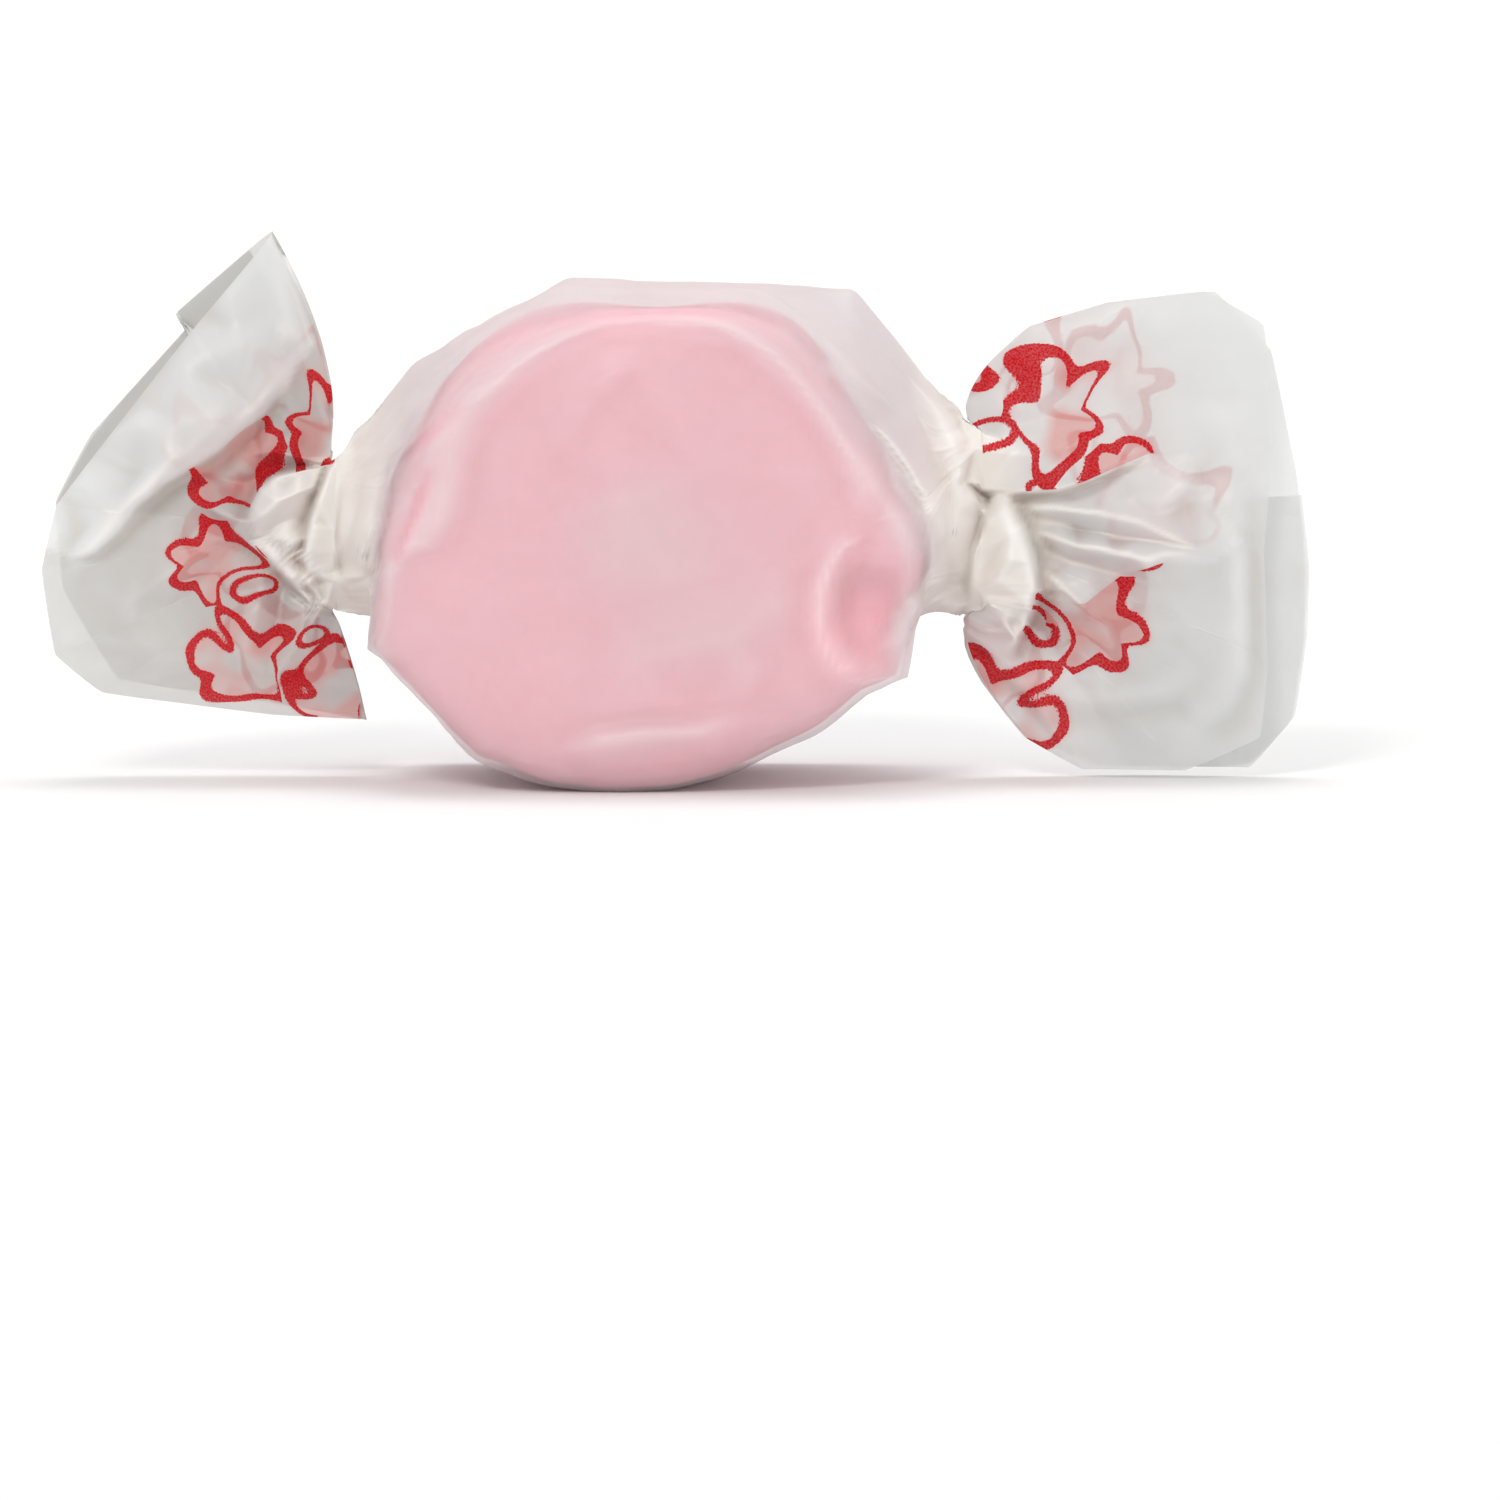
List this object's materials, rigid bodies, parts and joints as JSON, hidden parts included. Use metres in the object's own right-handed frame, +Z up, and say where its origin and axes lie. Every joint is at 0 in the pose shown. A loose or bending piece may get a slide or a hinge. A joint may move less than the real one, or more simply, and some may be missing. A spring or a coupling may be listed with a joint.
{
  "type": "wrapped taffy",
  "caption": "Chewy pink taffy, an oval drum on its edge in waxed paper twisted shut at both ends, with open paper fans",
  "frame": {"origin": "under the middle of the whole piece, on the surface that it stands on", "axes": "+X along the twist from the left fan to the right fan, -Y the side with the candy's round face in view, +Z up"},
  "size_m": [0.0568, 0.0172, 0.0246],
  "materials": {
    "taffy": "soft satin pulled sugar, pale pink",
    "waxed_paper": "translucent white waxed paper with red print"
  },
  "bodies": {
    "root": {"taffy": "taffy", "wrapper": "waxed_paper"}
  },
  "joints": []
}
